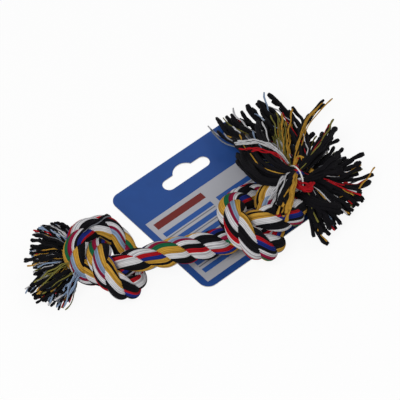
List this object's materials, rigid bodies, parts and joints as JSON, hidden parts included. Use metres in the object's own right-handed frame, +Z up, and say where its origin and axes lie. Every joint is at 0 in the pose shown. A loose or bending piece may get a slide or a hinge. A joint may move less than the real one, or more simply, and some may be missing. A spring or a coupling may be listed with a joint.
{
  "type": "rope dog toy",
  "caption": "Knotted rope dog toy: three-strand cotton rope with an overhand knot and frayed tassels at each end, lying on the header card that a loop pin hangs on one neck",
  "frame": {"origin": "Under the middle of the toy's bounding box, on the table it lies on.", "axes": "+X along the toy from the left tassel to the right tassel, +Y across it away from the viewer, +Z up."},
  "size_m": [0.2036, 0.1122, 0.0345],
  "materials": {
    "red_strand": "matte",
    "yellow_strand": "matte",
    "white_strand": "matte",
    "black_yarn": "matte",
    "white_yarn": "matte",
    "red_yarn": "matte",
    "yellow_yarn": "matte",
    "blue_yarn": "matte",
    "grey_yarn": "matte",
    "clear_loop_pin": "satin",
    "printed_card": "satin"
  },
  "bodies": {
    "toy": {"strand_red": "red_strand", "strand_yellow": "yellow_strand", "strand_white": "white_strand", "left_upper_tuft_black_lock_1": "black_yarn", "left_upper_tuft_white_lock_1": "white_yarn", "left_upper_tuft_black_lock_2": "black_yarn", "left_upper_tuft_red_lock_1": "red_yarn", "left_upper_tuft_black_lock_3": "black_yarn", "left_middle_tuft_black_lock_1": "black_yarn", "left_middle_tuft_black_lock_2": "black_yarn", "left_middle_tuft_white_lock_1": "white_yarn", "left_middle_tuft_yellow_lock_1": "yellow_yarn", "left_middle_tuft_black_lock_3": "black_yarn", "left_lower_tuft_black_lock_1": "black_yarn", "left_lower_tuft_blue_lock_1": "blue_yarn", "left_lower_tuft_yellow_lock_1": "yellow_yarn", "left_lower_tuft_black_lock_2": "black_yarn", "left_lower_tuft_white_lock_1": "white_yarn", "right_upper_tuft_black_lock_1": "black_yarn", "right_upper_tuft_white_lock_1": "white_yarn", "right_upper_tuft_black_lock_2": "black_yarn", "right_upper_tuft_yellow_lock_1": "yellow_yarn", "right_upper_tuft_black_lock_3": "black_yarn", "right_middle_tuft_black_lock_1": "black_yarn", "right_middle_tuft_yellow_lock_1": "yellow_yarn", "right_middle_tuft_black_lock_2": "black_yarn", "right_middle_tuft_grey_lock_1": "grey_yarn", "right_middle_tuft_black_lock_3": "black_yarn", "right_lower_tuft_black_lock_1": "black_yarn", "right_lower_tuft_red_lock_1": "red_yarn", "right_lower_tuft_black_lock_2": "black_yarn", "right_lower_tuft_white_lock_1": "white_yarn", "right_lower_tuft_black_lock_3": "black_yarn", "loop_pin": "clear_loop_pin"},
    "card": {"header_card": "printed_card"}
  },
  "joints": [
    {"name": "card_swivel", "type": "hinge", "parent": "toy", "child": "card", "pos_m": [0.05529, -0.01642, 0.0013], "axis": [-0.012, -0.0052, 0.9999], "range_deg": [-12, 12]}
  ]
}
